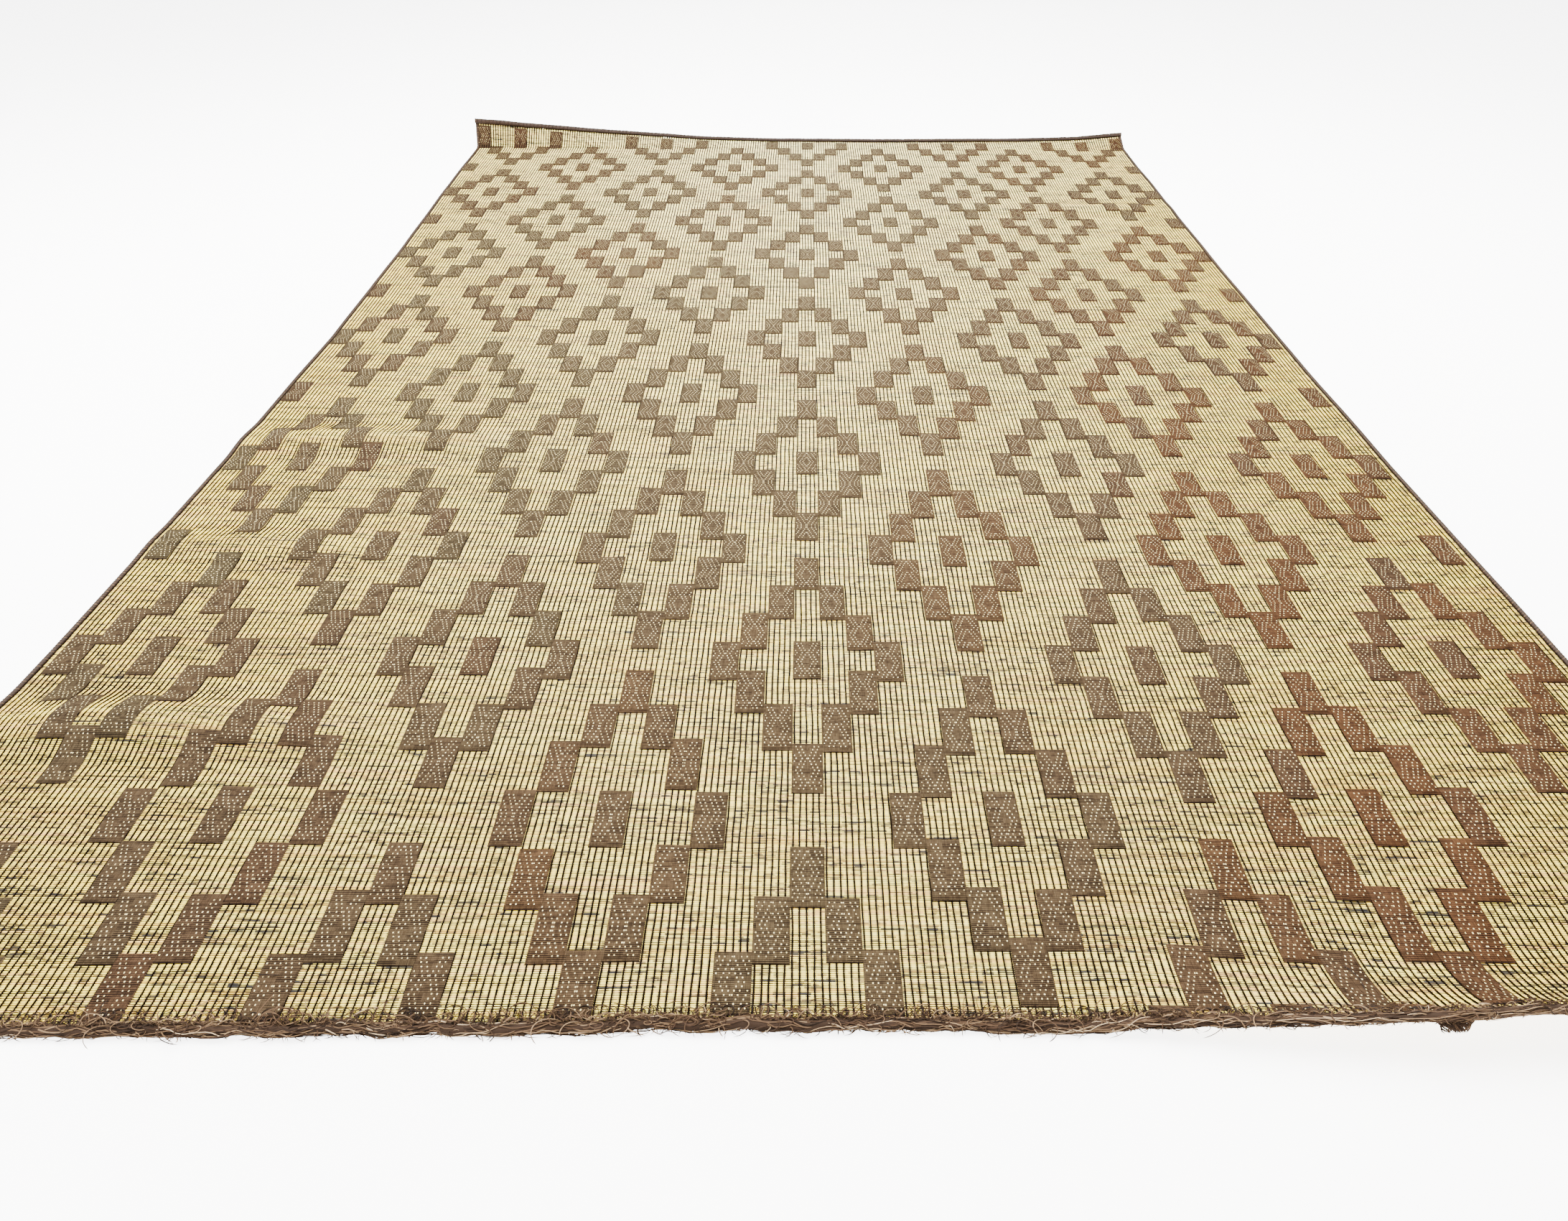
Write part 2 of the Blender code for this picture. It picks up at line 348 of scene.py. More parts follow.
class Finish:
    """Base of the finishes: a Principled material whose pattern follows the flat weave."""

    name: str = "finish"
    roughness: float = 0.6
    specular: float = 0.12

    def __init__(self) -> None:
        """Make the material and its shader, find the places across and along in metres, and draw."""
        self.material = bpy.data.materials.new(self.name)
        self.material.use_nodes = True
        self.tree = self.material.node_tree
        self.shader = self.tree.nodes["Principled BSDF"]
        self.shader.inputs["Roughness"].default_value = self.roughness
        self.shader.inputs["Specular IOR Level"].default_value = self.specular
        chart = add_node(self.tree, "UVMap", {"uv_map": UV_NAME})
        parts = add_node(self.tree, "SeparateXYZ", links={0: chart.outputs[0]})
        self.x, self.y = Value(parts.outputs[0]), Value(parts.outputs[1])
        self.draw()

    def draw(self) -> None:
        """Draw the pattern; a plain finish has none."""

    def dice(self, x: Any, y: Any) -> Value:
        """A random value for each pair of whole numbers."""
        pair = add_node(self.tree, "CombineXYZ", links={0: x, 1: y}).outputs[0]
        return Value(add_node(self.tree, "TexWhiteNoise", {"noise_dimensions": '2D'},
                              {"Vector": pair}).outputs[0])

    def cloud(self, rate_x: float, rate_y: float, detail: float = 2.0) -> Value:
        """Smooth noise with so many waves a metre across and along."""
        pair = add_node(self.tree, "CombineXYZ", links={0: self.x * rate_x, 1: self.y * rate_y}).outputs[0]
        return Value(add_node(self.tree, "TexNoise", {"noise_dimensions": '2D'},
                              {"Vector": pair, "Scale": 1.0, "Detail": detail}).outputs[0])

    def shades(self, factor: Value | None, stops: dict[float, str], *coats: tuple[Any, ...]) -> Value:
        """Colour a factor through hex colour stops, then lay thin coats over it.

        Args:
            factor: Value from 0 to 1, or None for the tone kept on the piece's points.
            stops: Hex colours by place, the two ends first.
            coats: An amount, a hex colour and, where it isn't mixed in, the way it blends.

        Returns:
            The colour.
        """
        factor = factor or add_node(self.tree, "Attribute", {"attribute_name": TONE_NAME}).outputs["Fac"]
        made = add_node(self.tree, "ValToRGB", links={0: factor})
        marks = made.color_ramp.elements
        for place in list(stops)[2:]:
            marks.new(place)
        for mark, (place, code) in zip(marks, sorted(stops.items())):
            mark.position, mark.color = place, srgb(code)
        colour = made.outputs[0]
        for amount, code, *blend in coats:
            settings = {"data_type": 'RGBA', "blend_type": blend[0] if blend else 'MIX'}
            made = add_node(self.tree, "Mix", settings, {0: amount, 6: colour, 7: srgb(code)})
            colour = made.outputs[2]
        return Value(colour)

    def paint(self, colour: Value, height: Value, relief: float) -> None:
        """Join colour and relief to the shader.

        Args:
            colour: The surface colour.
            height: Relief from 0 to 1.
            relief: Real depth of the relief, in metres.
        """
        self.tree.links.new(colour.socket, self.shader.inputs["Base Color"])
        bump = add_node(self.tree, "Bump", links={"Strength": 0.7, "Distance": relief, "Height": height})
        self.tree.links.new(bump.outputs[0], self.shader.inputs["Normal"])


class Straw(Finish):
    """Peeled grass stems, dried in the sun: silky cream with tan skins and brown nodes."""

    name = "peeled_straw"
    roughness = 0.46
    specular = 0.28
    stem_length: float = 170.0 * MM
    fleck_length: float = 14.0 * MM

    def draw(self) -> None:
        """Draw the stems by their number along the mat and their pieces across it."""
        x, y = self.x, self.y
        rows = y / WEAVE.reed_pitch
        reed = rows.floor()
        start = self.dice(reed, 3.0)
        part = (x * (1.0 / self.stem_length) + start * 9.0).floor()
        # The sides and the near end are yellower and the far middle paler: uneven yellow tone, with a painted
        # sheen that whitens the far middle
        side = abs(x / WEAVE.half_width)
        warm = (side * 0.6 + self.cloud(1.4, 1.1) * 0.55 + (y * -0.1 + 0.28)).clamp()
        pale = (y * 0.16 - 0.2 - side * 0.35).clamp()
        # Brown skins 14 mm long, in patches, and fibres 17 mm long and 0.4 mm wide
        cell = (x * (1.0 / self.fleck_length) + start * 31.0).floor()
        fleck = self.dice(cell, reed + 0.5) > self.cloud(6.0, 9.0) * -0.45 + 1.07
        grain = self.cloud(60.0, 2600.0, 3.0)
        rosy = self.dice(reed + 0.25, part) > 0.86
        # Painted shade in the gaps between the stems, uneven every 18 mm, and open over lengths of 170 mm
        uneven = self.dice((x * 55.0).floor(), reed)
        gap = self.dice((x * 6.0 + start * 7.0).floor(), reed + 0.75)
        gap_shade = abs(rows.fract() - 0.5) * 6.5 + (fleck * 1.2 - 2.25) + uneven ** 3.0 * 1.5 + gap ** 3.0 * 1.9
        depth = (uneven * 0.3 + (gap * 0.35 + 0.42)).clamp()
        # Shade beside the thongs, drawn wider than real so that it shows
        beside = (abs((x / WEAVE.thong_pitch).fract() - 0.5) * -9.0 + 2.6).clamp()
        beside = beside * (y * 0.1 + 0.6).clamp()
        colour = self.shades(
            self.dice(reed, part),
            {0.0: "CFA83C", 1.0: "FFF698", 0.12: "EAD050", 0.35: "FCE76C", 0.75: "FFEF80"},
            (warm * 0.9, "EEE07C", 'MULTIPLY'), (pale * 0.7, "FFF8BE"), (rosy * 0.5, "E0A468"),
            (fleck * 0.5, "7A5024"), ((grain * 0.5 - 0.12).clamp(), "CCA850"), (beside * 0.92, "454042"),
            (gap_shade.clamp() * depth, "16120E"))
        self.paint(colour, grain, 0.15 * MM)


class ThongLeather(Finish):
    """Narrow goatskin thongs, twined over every second reed, dark with handling."""

    name = "twined_thong_leather"
    roughness = 0.75
    specular = 0.02

    def draw(self) -> None:
        """Alternate the stitches that lie over and under the reeds."""
        stitches = self.y / WEAVE.stitch
        worn = self.dice((self.x / WEAVE.thong_pitch).floor(), stitches.floor())
        dip = abs(stitches.fract() - 0.5)
        colour = self.shades(worn, {0.0: "080401", 1.0: "1C1208", 0.6: "0E0803"},
                             ((dip * 2.4 - 0.8).clamp(), "140C05"))
        self.paint(colour, dip, 0.4 * MM)


class BlockLeather(Finish):
    """Strips of tanned goatskin, one hide warmer or greyer than the next, ribbed over the reeds."""

    name = "tanned_goatskin_strips"
    roughness = 0.66
    specular = 0.02

    def draw(self) -> None:
        """Draw the strips and the reeds that they ride over."""
        strips = (self.x / WEAVE.column + 0.5) * WEAVE.strips_in_block
        reeds = self.y / WEAVE.reed_pitch
        strip = strips.floor()
        bit = self.dice(strip, (self.y / WEAVE.stitch).floor())
        uneven = self.dice((strip * 0.1).floor(), reeds.floor())
        # Painted shade in the grooves between the reeds that the strips ride over, uneven from reed to reed,
        # and dark seams between the strips
        rib_shade = (abs(reeds.fract() - 0.5) * 6.0 + (uneven * 2.2 - 2.7)).clamp()
        shade = rib_shade.larger((abs(strips.fract() - 0.5) * 4.0 - 1.5).clamp())
        colour = self.shades(
            None, {0.0: "4B321F", 1.0: "433B29", 0.25: "453223", 0.55: "433526", 0.8: "463A29"},
            ((self.y * 0.14 - 0.15).clamp(), "2E1E11"), ((abs(self.x) * -0.85 + 0.8).clamp(), "4C402D"),
            (bit * 0.5, "22160B"), (shade * 0.85, "0C0603"))
        self.paint(colour, shade * -1.0 + 1.0, 0.5 * MM)


class ToneFinish(Finish):
    """A plain grained material coloured by the tone kept on the points."""

    stops: dict[float, str] = {}
    grain_rates: tuple[float, float] = (900.0, 900.0)
    shadow: str = "3A2A1E"

    def draw(self) -> None:
        """Colour by tone and break it up with grain about a millimetre wide."""
        grain = self.cloud(*self.grain_rates, 3.0)
        colour = self.shades(None, self.stops, ((grain * 0.8 - 0.25).clamp(), self.shadow))
        self.paint(colour, grain, 0.2 * MM)


class DotStraw(ToneFinish):
    """Short lengths of peeled stem that show between the leather strips, silky with a fine grain."""

    name = "straw_between_strips"
    roughness = 0.5
    stops = {0.0: "7E6840", 1.0: "FAEAB4", 0.5: "DAC688"}
    grain_rates = (500.0, 1800.0)
    shadow = "8A6E3C"


class WeltLeather(ToneFinish):
    """Goatskin lacing, near black with handling."""

    name = "dark_leather_lacing"
    stops = {0.0: "0C0604", 1.0: "1E130C"}


class EdgeLeather(ToneFinish):
    """Goatskin whipped round the edges, rubbed pale on its high turns; on the far binding its tone is painted
    light on top and painted shade underneath.
    """

    name = "whipped_edge_leather"
    roughness = 0.58
    stops = {0.0: "0C0703", 1.0: "B09260", 0.5: "281A10", 0.8: "523C26"}


class PalmFibre(ToneFinish):
    """Teased palm fibre, dry and matt, each strand of its own brown."""

    name = "teased_palm_fibre"
    roughness = 0.85
    stops = {0.0: "120B06", 1.0: "BCA482", 0.35: "3C2B1E", 0.7: "665039", 0.9: "8A7154"}


class Piece:
    """A mesh object with the few steps that every piece of the mat takes."""

    def __init__(self, obj: bpy.types.Object, name: str) -> None:
        """Take an object over and name it."""
        self.obj = obj
        obj.name = obj.data.name = name

    @property
    def points(self) -> np.ndarray:
        """Vertex places.

        Returns:
            One row (x, y, z) for each vertex.
        """
        flat = np.empty(len(self.obj.data.vertices) * 3)
        self.obj.data.vertices.foreach_get("co", flat)
        return flat.reshape(-1, 3)

    @points.setter
    def points(self, places: np.ndarray) -> None:
        """Write vertex places back."""
        self.obj.data.vertices.foreach_set("co", np.ascontiguousarray(places, dtype=np.float32).ravel())
        self.obj.data.update()

    @property
    def corners(self) -> np.ndarray:
        """Corners of the faces.

        Returns:
            The vertex number of each corner, face by face.
        """
        numbers = np.empty(len(self.obj.data.loops), dtype=np.int32)
        self.obj.data.loops.foreach_get("vertex_index", numbers)
        return numbers

    def modify(self, kind: str, **settings: Any) -> None:
        """Add a modifier and apply it.

        Args:
            kind: Type of the modifier.
            settings: Its properties.
        """
        modifier = self.obj.modifiers.new(kind, kind)
        for key, value in settings.items():
            setattr(modifier, key, value)
        bpy.ops.object.select_all(action='DESELECT')
        self.obj.select_set(True)
        bpy.context.view_layer.objects.active = self.obj
        bpy.ops.object.modifier_apply(modifier=modifier.name)

    def repeat(self, count: int, offset: tuple[float, float, float]) -> None:
        """Copy the mesh in a row, each copy one offset further."""
        self.modify('ARRAY', count=count, use_relative_offset=False, use_constant_offset=True,
                    constant_offset_displace=offset)

    def bend_at(self, columns: tuple[float, ...]) -> None:
        """Move the even lines of a grid across the mat to the places where the mat bends.

        Args:
            columns: The bends, in pattern columns.
        """
        points = self.points
        line = np.rint((points[:, 0] / WEAVE.half_width + 1.0) * (len(columns) - 1) / 2.0).astype(int)
        points[:, 0] = np.array(columns)[line] * WEAVE.column
        self.points = points

    def pick_rim(self, kind: str) -> None:
        """Go into edit mode with the open border picked.

        Args:
            kind: What is picked of it, its points or its edges.
        """
        bpy.context.view_layer.objects.active = self.obj
        bpy.ops.object.mode_set(mode='EDIT')
        bpy.ops.mesh.select_mode(type=kind)
        bpy.ops.mesh.select_all(action='DESELECT')
        bpy.ops.mesh.select_non_manifold()

    def tuck_rim(self) -> None:
        """Push the open border of a patch of unit size down."""
        self.pick_rim('VERT')
        bpy.ops.transform.translate(value=(0.0, 0.0, -1.0))
        bpy.ops.object.mode_set(mode='OBJECT')

    def close_ends(self) -> None:
        """Cap the open ends of a tube and turn its faces outwards."""
        self.pick_rim('EDGE')
        bpy.ops.mesh.edge_face_add()
        bpy.ops.mesh.select_all(action='SELECT')
        bpy.ops.mesh.normals_make_consistent(inside=False)
        bpy.ops.object.mode_set(mode='OBJECT')

    def lay(self, lay: MatLay, finish: Finish, slot: str, degrees: float = 60.0, node: str = "") -> None:
        """Keep the flat places as a UV map in metres, lay the piece on the ground and dress it.

        Args:
            lay: How the mat lies.
            finish: What the piece is made of.
            slot: A material slot name; not used.
            degrees: Edges sharper than this stay sharp.
            node: The CAD node that the piece replaces, if any.
        """
        mesh = self.obj.data
        layer = mesh.uv_layers.get(UV_NAME) or mesh.uv_layers.new(name=UV_NAME)
        layer.data.foreach_set("uv", self.points[self.corners, :2].astype(np.float32).ravel())
        for other in [u for u in mesh.uv_layers if u.name != UV_NAME]:
            mesh.uv_layers.remove(other)
        self.points = lay.place(self.points)
        mesh.materials.clear()
        mesh.materials.append(finish.material)
        mesh.shade_smooth()
        mesh.set_sharp_from_angle(angle=math.radians(degrees))
        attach(self.obj, BODY)
        if node:
            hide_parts(node)
        lay.pieces.append(self.obj)
        LOG.info("%s: %d faces", self.obj.name, len(mesh.polygons))


def flat_grid(name: str, across: int, along: int, low: tuple[float, float] = (-0.5, -0.5),
              high: tuple[float, float] = (0.5, 0.5)) -> Piece:
    """Add a level grid between two corners.

    Args:
        name: The piece's name.
        across: Cells along x.
        along: Cells along y.
        low: Corner with the lowest x and y.
        high: Corner with the highest x and y.

    Returns:
        The new piece.
    """
    bpy.ops.object.select_all(action='DESELECT')
    bpy.ops.mesh.primitive_grid_add(x_subdivisions=across, y_subdivisions=along, size=1.0)
    piece = Piece(bpy.context.object, name)
    middle = np.array([(low[0] + high[0]) / 2.0, (low[1] + high[1]) / 2.0, 0.0])
    piece.points = middle + piece.points * np.array([high[0] - low[0], high[1] - low[1], 1.0])
    return piece


def joined_mesh(name: str, points: np.ndarray, faces: np.ndarray, tones: np.ndarray) -> Piece:
    """Make one piece from arrays.

    Args:
        name: The piece's name.
        points: Vertex places, one row each.
        faces: Vertex numbers, one row for each face.
        tones: A tone from 0 to 1 for each vertex.

    Returns:
        The new piece.
    """
    mesh = bpy.data.meshes.new(name)
    mesh.from_pydata(points.tolist(), [], faces.tolist())
    kept = mesh.attributes.new(TONE_NAME, 'FLOAT', 'POINT')
    kept.data.foreach_set("value", tones.astype(np.float32))
    obj = bpy.data.objects.new(name, mesh)
    bpy.context.scene.collection.objects.link(obj)
    return Piece(obj, name)


def scatter(unit: Piece, name: str, places: np.ndarray, sizes: np.ndarray, tones: np.ndarray) -> Piece:
    """Join many moved and sized copies of one small piece, and remove the piece itself.

    Args:
        unit: The small piece, around the origin.
        name: Name of the joined piece.
        places: A centre for each copy.
        sizes: A scale (x, y, z) for each copy.
        tones: A tone from 0 to 1 for each copy.

    Returns:
        The joined piece.
    """
    base, corners = unit.points, unit.corners
    points = (base[None] * sizes[:, None] + places[:, None]).reshape(-1, 3)
    faces = corners[None] + len(base) * np.arange(len(places))[:, None]
    faces = faces.reshape(-1, len(corners) // len(unit.obj.data.polygons))
    bpy.data.objects.remove(unit.obj)
    return joined_mesh(name, points, faces, np.repeat(tones, len(base)))


def rings(low: float, high: float, count: int, sides: int) -> list[np.ndarray]:
    """Place of each point of a tube along it and its turn around it, by ring and side."""
    return np.meshgrid(np.linspace(low, high, count), math.tau * np.arange(sides) / sides, indexing="ij")


def tube(name: str, x: np.ndarray, y: np.ndarray, z: np.ndarray, tones: np.ndarray) -> Piece:
    """Join rings of points to a closed tube.

    Args:
        name: The piece's name.
        x: Places across, by ring and side.
        y: Places along.
        z: Heights.
        tones: A tone from 0 to 1 for each point.

    Returns:
        The new piece.
    """
    at = np.arange(x.size).reshape(x.shape)
    beside = np.roll(at, -1, axis=1)
    faces = np.stack([at[:-1], at[1:], beside[1:], beside[:-1]], axis=-1).reshape(-1, 4)
    piece = joined_mesh(name, np.stack([x, y, z], axis=-1).reshape(-1, 3), faces, tones.ravel())
    piece.close_ends()
    return piece


def strands(name: str, paths: np.ndarray, radius: np.ndarray, tones: np.ndarray, sides: int = 4) -> Piece:
    """Make many thin strands that taper at both ends.

    Args:
        name: Name of the joined piece.
        paths: Points of each strand, as strand by point by (x, y, z).
        radius: Radius of each strand.
        tones: A tone from 0 to 1 for each strand.
        sides: Sides of a strand.

    Returns:
        The joined piece.
    """
    count, length, _ = paths.shape
    run = np.gradient(paths, axis=1)
    run /= np.linalg.norm(run, axis=2, keepdims=True) + 1e-12
    side = np.cross(run, np.array([0.13, 0.21, 0.97]))
    side /= np.linalg.norm(side, axis=2, keepdims=True) + 1e-12
    over = np.cross(side, run)
    taper = np.full(length, 1.0)
    taper[0], taper[-1] = 0.5, 0.15
    turn = (math.tau * np.arange(sides) / sides)[None, None, :, None]
    ring = side[:, :, None] * np.cos(turn) + over[:, :, None] * np.sin(turn)
    points = paths[:, :, None] + ring * (radius[:, None] * taper[None])[:, :, None, None]
    at = np.arange(count * length * sides).reshape(count, length, sides)
    beside = np.roll(at, -1, axis=2)
    faces = np.stack([at[:, :-1], beside[:, :-1], beside[:, 1:], at[:, 1:]], axis=-1).reshape(-1, 4)
    if sides == 4:
        faces = np.concatenate([faces, at[:, 0, ::-1], at[:, -1]])
    return joined_mesh(name, points.reshape(-1, 3), faces, np.repeat(tones, length * sides))


@dataclass
class Part:
    """A sub-assembly of the mat: how it lies and what it is made of."""

    lay: MatLay
    finish: Finish


@dataclass
class Web(Part):
    """The thin body of the mat that the reeds and thongs lie on: a sheet of cloth in place of the mat part.
    """

    along: int = 240

    def build(self) -> None:
        """Make the web as a grid thickened to its real depth."""
        bends = tuple(sorted(set(NEAR_BENDS + FAR_BENDS)))
        web = flat_grid("mat_web", len(bends) - 1, self.along, (-WEAVE.half_width, WEAVE.near),
                        (WEAVE.half_width, WEAVE.far))
        web.bend_at(bends)
        web.modify('SOLIDIFY', thickness=WEAVE.web_top, offset=1.0)
        web.lay(self.lay, self.finish, "reed_weave", node="mat")


@dataclass
class Reeds(Part):
    """A run of reeds: one is shaped, then set side by side along the mat."""

    name: str
    first: int
    count: int
    bends: tuple[float, ...]
    shoulder: float = 0.24
    lift: float = 0.28 * MM
    seed: int = 5

    def build(self) -> None:
        """Make the run, each reed a little higher or lower along its length."""
        low_y = self.first * WEAVE.reed_pitch
        piece = flat_grid(self.name, len(self.bends) - 1, 3, (-WEAVE.half_width, low_y),
                          (WEAVE.half_width, low_y + WEAVE.reed_pitch))
        piece.bend_at(self.bends)
        points = piece.points
        line = np.rint((points[:, 1] - low_y) / WEAVE.reed_pitch * 3.0).astype(int)
        shares = np.array([0.0, self.shoulder, 1.0 - self.shoulder, 1.0])
        points[:, 1] = low_y + shares[line] * WEAVE.reed_pitch
        points[:, 2] = np.where((line == 1) | (line == 2), WEAVE.reed_top, WEAVE.web_top - 0.1 * MM)
        piece.points = points
        piece.repeat(self.count, (0.0, WEAVE.reed_pitch, 0.0))
        reed = self.first + np.repeat(np.arange(self.count), len(points))
        rng = np.random.default_rng(self.seed)
        phase, rate = (rng.uniform(low, high, self.first + self.count + 1)[reed]
                       for low, high in ((0.0, math.tau), (6.0, 16.0)))
        points = piece.points
        points[:, 2] += (points[:, 2] > WEAVE.web_top) * self.lift * np.sin(points[:, 0] * rate + phase)
        piece.points = points
        piece.lay(self.lay, self.finish, "reed_weave", 75.0)


@dataclass
class Thongs(Part):
    """The thongs that lace the reeds together, each a low ridge with a slight wander.

    They are wider than real ones, and widest at the far end, so that they show dark between bright reeds.
    """

    name: str
    low: float
    high: float
    cells_in_row: int
    width: float = 4.0 * MM
    widths: tuple[float, float] = (0.84, 1.08)
    weave_side: float = 0.45 * MM
    seed: int = 21

    def build(self) -> None:
        """Make every thong between two places along the mat."""
        cells = round((self.high - self.low) / WEAVE.row * self.cells_in_row)
        count = 2 * int(WEAVE.half_width / WEAVE.thong_pitch + 0.5)
        start = (-count / 2.0 + 0.5) * WEAVE.thong_pitch
        piece = flat_grid(self.name, 2, cells, (start - self.width / 2.0, self.low),
                          (start + self.width / 2.0, self.high))
        points = piece.points
        ridge = np.abs(points[:, 0] - start) < self.width / 4.0
        points[:, 2] = np.where(ridge, WEAVE.thong_top, WEAVE.reed_top - 0.5 * MM)
        piece.points = points
        piece.repeat(count, (WEAVE.thong_pitch, 0.0, 0.0))
        thong = np.repeat(np.arange(count), len(points))
        rng = np.random.default_rng(self.seed)
        points = piece.points
        centre = start + thong * WEAVE.thong_pitch
        swelling = np.interp(points[:, 1], (WEAVE.near, WEAVE.far), self.widths)
        points[:, 0] = centre + (points[:, 0] - centre) * swelling
        for _ in range(2):
            phase, rate = rng.uniform(0.0, math.tau, count)[thong], rng.uniform(20.0, 75.0, count)[thong]
            points[:, 0] += self.weave_side * np.sin(points[:, 1] * rate + phase)
        piece.points = points
        piece.lay(self.lay, self.finish, "brown_leather", 80.0)


class Motif(Enum):
    """Dotted motifs: for each dot row, how many strips the inner line stands from the block's middle."""

    LOZENGE = "432101234321012"
    HOURGLASS = "654321000123456"
    NESTED = "012345654321012"
    ARROWS = "012345012345012"
    ZIGZAG = "012345432101234 one way"

    @property
    def mirrored(self) -> bool:
        """Whether the right half mirrors the left."""
        return not self.value.endswith("one way")

    def strips(self, dot_row: int) -> list[int]:
        """Find the strips that dive under the reed in a dot row.

        Args:
            dot_row: Number of the row.

        Returns:
            Strips, counted from the block's left edge.
        """
        step = int(self.value[dot_row])
        if self.mirrored:
            gaps = (0, 3, 7) if self in (Motif.LOZENGE, Motif.ARROWS) else (-7, -3, 0, 4, 7)
            lines = [step + gap for gap in gaps if 0 <= step + gap <= 8]
            return [s for line in lines for s in (9 - line, 10 + line)]
        return [step + gap for gap in (1, 4, 8, 11, 15) if step + gap <= 18]


class Block(NamedTuple):
    """One leather block of the pattern."""

    x: float
    y: float
    depth: float
    tone: float
    motif: Motif


@dataclass
class Pattern:
    """Stepped diamonds, six columns apart and four rows apart, each of thirteen blocks."""

    diamond_columns: int = 6
    diamond_rows: int = 4
    radius: int = 3
    last_column: int = 27
    last_row: int = 48
    depth_rows: float = 1.21
    slack: float = 3.0 * MM
    motif_shares: tuple[float, ...] = (0.34, 0.22, 0.18, 0.1, 0.16)
    same_motif: float = 0.7
    lanes: tuple[float, ...] = (-24.0, -18.0, -12.0, -6.0, 0.0, 6.0, 12.0, 18.0, 24.0)
    slips: tuple[tuple[float, ...], ...] = (
        (0.02, 0.02, 0.0, -0.05, -0.07, 0.04, 0.3, -0.38, -0.3),
        (-0.15, -0.12, -0.16, -0.18, -0.05, 0.14, 0.45, -0.27, 0.0),
        (-0.18, -0.17, -0.28, -0.16, 0.01, 0.19, 0.45, -0.1, 0.1),
        (-0.26, -0.09, 0.13, 0.17, 0.1, 0.16, 0.46, -0.13, 0.28))
    slip_rows: tuple[float, ...] = (6.0, 20.0, 29.0, 42.0)
    sag_rows: tuple[float, ...] = (0.0, 1.0, 3.0, 4.0, 5.0, 7.0, 9.0)
    sag: tuple[float, ...] = (-0.8, -0.3, -0.3, -0.12, 0.12, 0.1, 0.0)
    least_depth: float = 8.0 * MM
    seed: int = 7

    def blocks(self) -> list[Block]:
        """Chart all blocks, with the unevenness of hand work.

        Returns:
            The blocks from left to right.
        """
        rng = np.random.default_rng(self.seed)
        motifs = list(Motif)
        found: dict[tuple[int, int], Block] = {}
        for k in range(self.last_row // self.diamond_rows + 1):
            for i in range(-5, 6):
                if (i + k) % 2:
                    continue
                hide = rng.uniform(0.1, 0.9)
                kind = motifs[rng.choice(len(motifs), p=self.motif_shares)]
                for column, row in self.diamond(i * self.diamond_columns, k * self.diamond_rows):
                    if abs(column) > self.last_column or not 0 <= row <= self.last_row:
                        continue
                    tone = float(np.clip(hide + rng.normal(0.0, 0.13) - 0.012 * column, 0.0, 1.0))
                    motif = kind if rng.random() < self.same_motif else motifs[rng.integers(len(motifs))]
                    depth = WEAVE.row * (self.depth_rows + rng.uniform(-0.05, 0.06))
                    shift = rng.normal(0.0, self.slack)
                    x, y = self.uneven(column, row, i * self.diamond_columns)
                    found[(column, row)] = Block(x * WEAVE.column, y * WEAVE.row + shift, depth, tone, motif)
        trimmed = [self.trimmed(found[key]) for key in sorted(found)]
        return [block for block in trimmed if block.depth > self.least_depth]

    def uneven(self, column: int, row: int, lane: int) -> tuple[float, float]:
        """Place a block where the weaver's count has drifted, as the photograph shows it.

        Args:
            column: The block's column of the even pattern.
            row: Its row of the even pattern.
            lane: The middle column of its diamond.

        Returns:
            Its column and row on the mat.
        """
        slips = [float(np.interp(lane, self.lanes, slip)) for slip in self.slips]
        across = float(np.interp(row, self.slip_rows, slips))
        sag = float(np.interp(row, self.sag_rows, self.sag))
        sag *= float(np.interp(column, (1.0, 5.0), (1.0, 0.2)))
        rise = float(np.interp(column, (13.0, 18.0, 24.0), (0.0, 0.16, 0.24))
                     * np.interp(row, (3.0, 9.0, 16.0), (1.0, 0.9, 0.0))
                     - np.interp(column, (-2.0, 3.0), (0.0, 0.13)) * np.interp(row, (22.0, 36.0), (0.0, 1.0)))
        return column + across, row + sag + rise

    def diamond(self, column: int, row: int) -> list[tuple[int, int]]:
        """Columns and rows of one diamond's blocks: its middle and its outline."""
        reach = range(-self.radius, self.radius + 1)
        return [(column + i, row + j) for i in reach for j in reach if abs(i) + abs(j) in (0, self.radius)]

    def trimmed(self, block: Block) -> Block:
        """Cut a block back where it would pass an end of the mat.

        Args:
            block: The block as charted.

        Returns:
            The block as it fits.
        """
        low = max(block.y - block.depth / 2.0, WEAVE.near + 4.0 * MM)
        high = min(block.y + block.depth / 2.0, WEAVE.far - 3.0 * MM)
        return block._replace(y=(low + high) / 2.0, depth=high - low)


